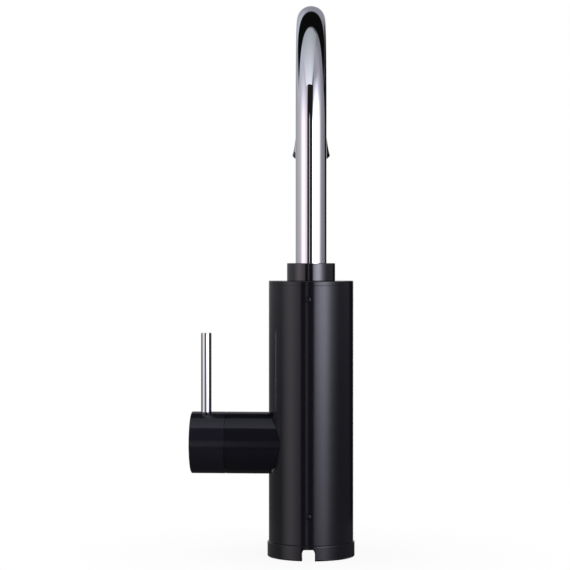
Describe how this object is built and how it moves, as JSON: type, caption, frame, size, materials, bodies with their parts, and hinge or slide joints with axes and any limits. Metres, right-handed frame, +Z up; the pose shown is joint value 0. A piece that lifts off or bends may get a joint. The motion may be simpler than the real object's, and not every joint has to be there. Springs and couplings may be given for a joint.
{
  "type": "electric instant water heater tap",
  "caption": "Slim cylindrical kitchen tap that heats water inside, with a side rod handle and a swivelling gooseneck spout with a flared mouth.",
  "frame": {"origin": "centre of the worktop's tap hole, at the height of the worktop surface that the base stands on", "axes": "+Z up along the body; -Y forward, where the spout reaches; +X along the handle barrel; +Y to the cable notch at the back"},
  "size_m": [0.116, 0.2154, 0.3979],
  "materials": {
    "black_abs": "satin gloss",
    "rubber": "matt",
    "brass": "turned",
    "stainless": "brushed",
    "zinc_steel": "zinc plated",
    "nylon": "moulded",
    "brown_pvc": "moulded",
    "blue_pvc": "moulded",
    "green_pvc": "moulded",
    "white_acetal": "moulded",
    "ceramic": "lapped",
    "dark_nylon": "glass-filled, moulded",
    "red_abs": "moulded",
    "chrome": "mirror-bright plating"
  },
  "bodies": {
    "tap_body": {"base_flange": "black_abs", "cable_gland": "black_abs", "body_shell": "black_abs", "top_cap": "black_abs", "collar_nut": "black_abs", "barrel_cover": "black_abs", "base_gasket": "rubber", "inlet_tube_seals": "rubber", "port_gasket": "rubber", "disc_seal": "rubber", "diaphragm": "rubber", "tank_inlet_seal": "rubber", "tank_seal": "rubber", "element_seals": "rubber", "inlet_fitting": "brass", "inlet_nut": "brass", "earth_tag": "brass", "valve_block": "brass", "cartridge_housing": "brass", "cartridge_nut": "brass", "element_nuts": "brass", "inlet_screen": "stainless", "inlet_tube": "stainless", "heating_element": "stainless", "plunger_spring": "stainless", "terminal_screws": "zinc_steel", "shell_screws": "zinc_steel", "valve_screws": "zinc_steel", "switch_housing_screws": "zinc_steel", "microswitch_screws": "zinc_steel", "tank_screws": "zinc_steel", "terminal_block": "nylon", "wire_live": "brown_pvc", "wire_link": "brown_pvc", "wire_heater": "brown_pvc", "wire_neutral": "blue_pvc", "wire_earth": "green_pvc", "cartridge_body": "white_acetal", "slip_washer": "white_acetal", "thermal_cutout": "white_acetal", "fixed_disc": "ceramic", "switch_housing": "dark_nylon", "tank_body": "dark_nylon", "tank_lid": "dark_nylon", "microswitch": "dark_nylon"},
    "spout": {"spout_tube": "chrome", "spout_seals": "rubber", "retaining_ring": "stainless", "aerator_housing": "black_abs", "aerator_washer": "rubber", "aerator_screen": "stainless", "aerator_insert": "nylon"},
    "handle": {"knob": "black_abs", "lever_rod": "stainless", "knob_grub_screw": "zinc_steel", "cartridge_stem": "brass", "stem_seal": "rubber", "moving_disc": "ceramic"},
    "flow_plunger": {"switch_plunger": "white_acetal"},
    "switch_button": {"microswitch_button": "red_abs"}
  },
  "joints": [
    {"name": "spout_swivel", "type": "hinge", "parent": "tap_body", "child": "spout", "pos_m": [0, 0, 0.2], "axis": [0, 0, 1], "continuous": true},
    {"name": "handle_turn", "type": "hinge", "parent": "tap_body", "child": "handle", "pos_m": [0.06, 0, 0.08], "axis": [1, 0, 0], "range_deg": [-90, 90]},
    {"name": "plunger_slide", "type": "slide", "parent": "tap_body", "child": "flow_plunger", "axis": [0, 0, -1], "range_m": [0, 0.0015], "stiffness_N_per_m": 100, "springref_m": -0.001, "deforming": ["plunger_spring"]},
    {"name": "button_press", "type": "slide", "parent": "tap_body", "child": "switch_button", "axis": [0, 0, -1], "range_m": [0, 0.0015]}
  ],
  "couplings": [
    {"joint": "button_press", "follows": "plunger_slide", "ratio": 1}
  ]
}
